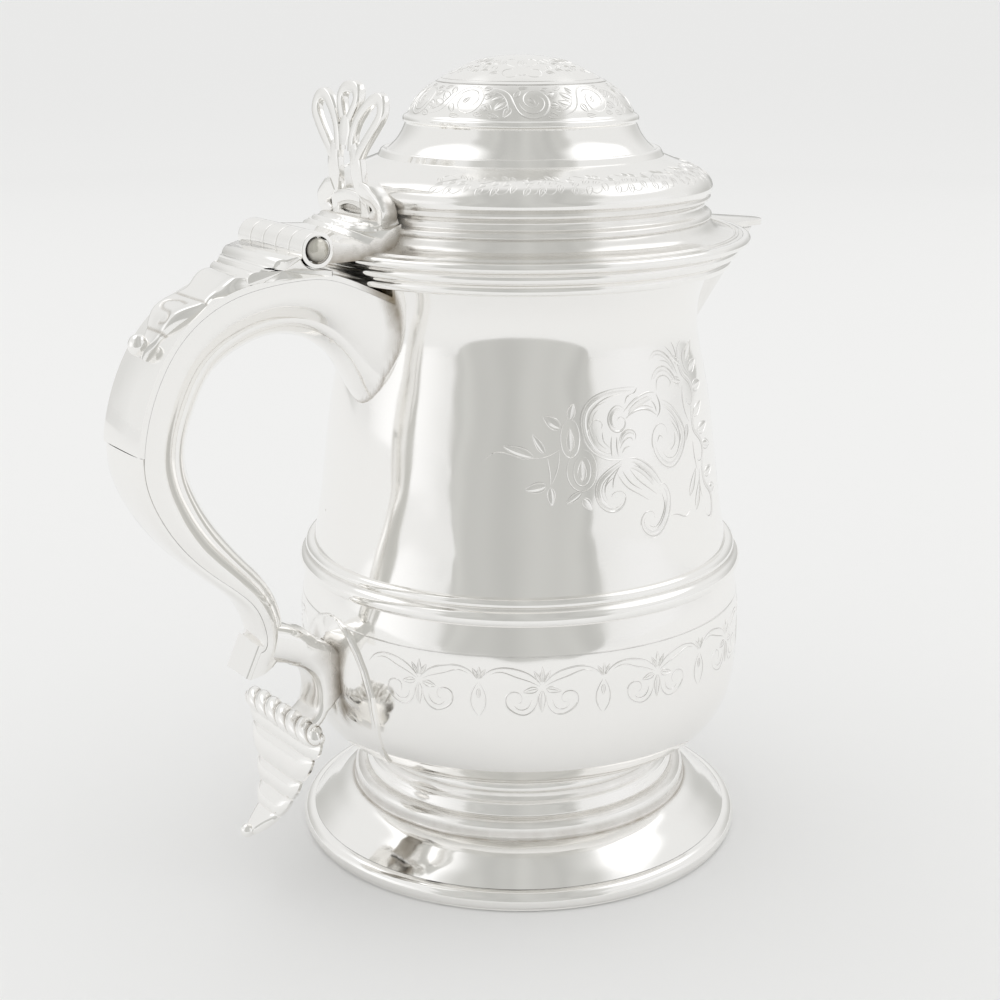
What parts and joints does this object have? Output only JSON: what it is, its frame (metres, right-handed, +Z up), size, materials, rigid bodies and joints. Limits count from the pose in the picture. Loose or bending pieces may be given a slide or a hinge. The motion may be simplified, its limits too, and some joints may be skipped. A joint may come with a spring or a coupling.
{
  "type": "lidded jug",
  "caption": "Polished silver lidded jug: baluster body on a moulded foot, beak spout, hollow scroll handle and a domed lid that turns back on a hinge with a pierced thumbpiece.",
  "frame": {"origin": "centre of the foot on the table", "axes": "+Z up along the jug's axis, +X towards the spout, -X towards the handle; the jug is the same on both sides of the plane y = 0"},
  "size_m": [0.1851, 0.1146, 0.197],
  "materials": {
    "polished_silver": "polished sterling silver, slightly warm, with fine wear",
    "tarnished_silver": "silver left dull and dark, as in the joint of the hinge"
  },
  "bodies": {
    "jug": {"body_barrel": "polished_silver", "lip_moulding": "polished_silver", "girdle_moulding": "polished_silver", "foot_collar": "polished_silver", "foot": "polished_silver", "foot_rim_wire": "polished_silver", "spout": "polished_silver", "handle_channel": "polished_silver", "handle_back_strap": "polished_silver", "handle_lower_back": "polished_silver", "handle_end_cap": "polished_silver", "handle_back_leaf": "polished_silver", "back_leaf_bead": "polished_silver", "hinge_seat": "polished_silver", "hinge_pin": "tarnished_silver", "lower_patch": "polished_silver", "handle_lower_scroll": "polished_silver", "tail_leaf_gadroon": "polished_silver", "tail_leaf": "polished_silver"},
    "lid": {"lid_dome": "polished_silver", "lid_rim_wire": "polished_silver", "lid_bezel": "polished_silver", "lid_spout_tongue": "polished_silver", "lid_hinge_plate": "polished_silver", "hinge_pin_caps": "tarnished_silver", "thumbpiece": "polished_silver", "thumbpiece_fan": "polished_silver"}
  },
  "joints": [
    {"name": "lid_hinge", "type": "hinge", "parent": "jug", "child": "lid", "pos_m": [-0.065, 0, 0.1575], "axis": [0, -1, 0], "range_deg": [0, 100]}
  ]
}
